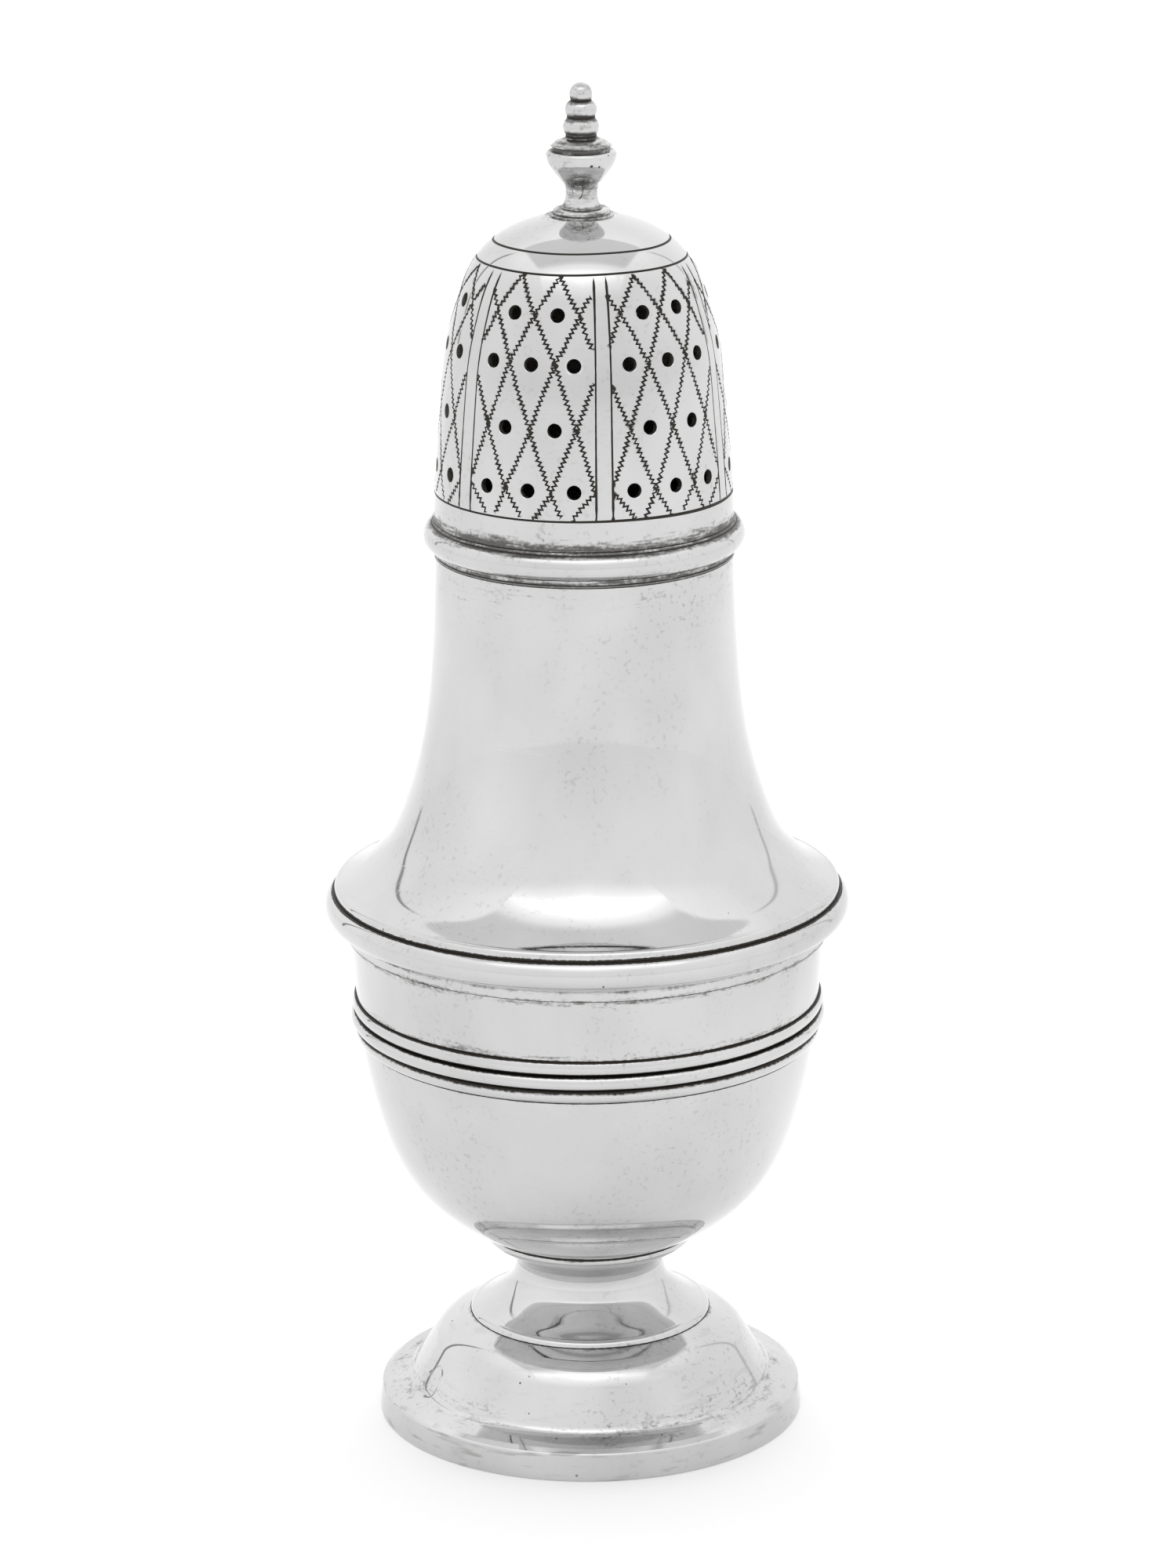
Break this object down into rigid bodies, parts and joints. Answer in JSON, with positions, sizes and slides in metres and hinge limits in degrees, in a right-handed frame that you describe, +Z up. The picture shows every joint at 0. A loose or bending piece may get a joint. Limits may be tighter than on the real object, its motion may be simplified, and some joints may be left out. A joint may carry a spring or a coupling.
{
  "type": "sugar caster",
  "caption": "Baluster sugar caster in worn silver on a domed foot, with a pull-off pierced dome cover and a turned finial.",
  "frame": {"origin": "centre of the foot rim's underside, on the surface that the caster stands on", "axes": "+Z up along the turning axis of every piece, -Y towards the front in the picture, +X to the right"},
  "size_m": [0.066, 0.066, 0.1715],
  "materials": {
    "sheet_silver": "raised sterling silver sheet, worn polish with fine scratches and light tarnish",
    "cast_silver": "cast and turned sterling silver, polished on the crests with dark tarnish in the creases"
  },
  "bodies": {
    "vessel": {"foot_rim": "sheet_silver", "foot_dome": "sheet_silver", "foot_stem": "cast_silver", "bowl_collar": "cast_silver", "lower_body": "sheet_silver", "reed_band": "cast_silver", "shoulder_moulding": "cast_silver", "upper_body": "sheet_silver", "neck_rim": "cast_silver"},
    "cover": {"cover_sleeve": "sheet_silver", "cover_moulding": "cast_silver", "cover_dome": "sheet_silver", "finial_base": "cast_silver", "finial": "cast_silver"}
  },
  "joints": [
    {"name": "cover_lift", "type": "slide", "parent": "vessel", "child": "cover", "axis": [0, 0, 1], "range_m": [0, 0.04]}
  ]
}
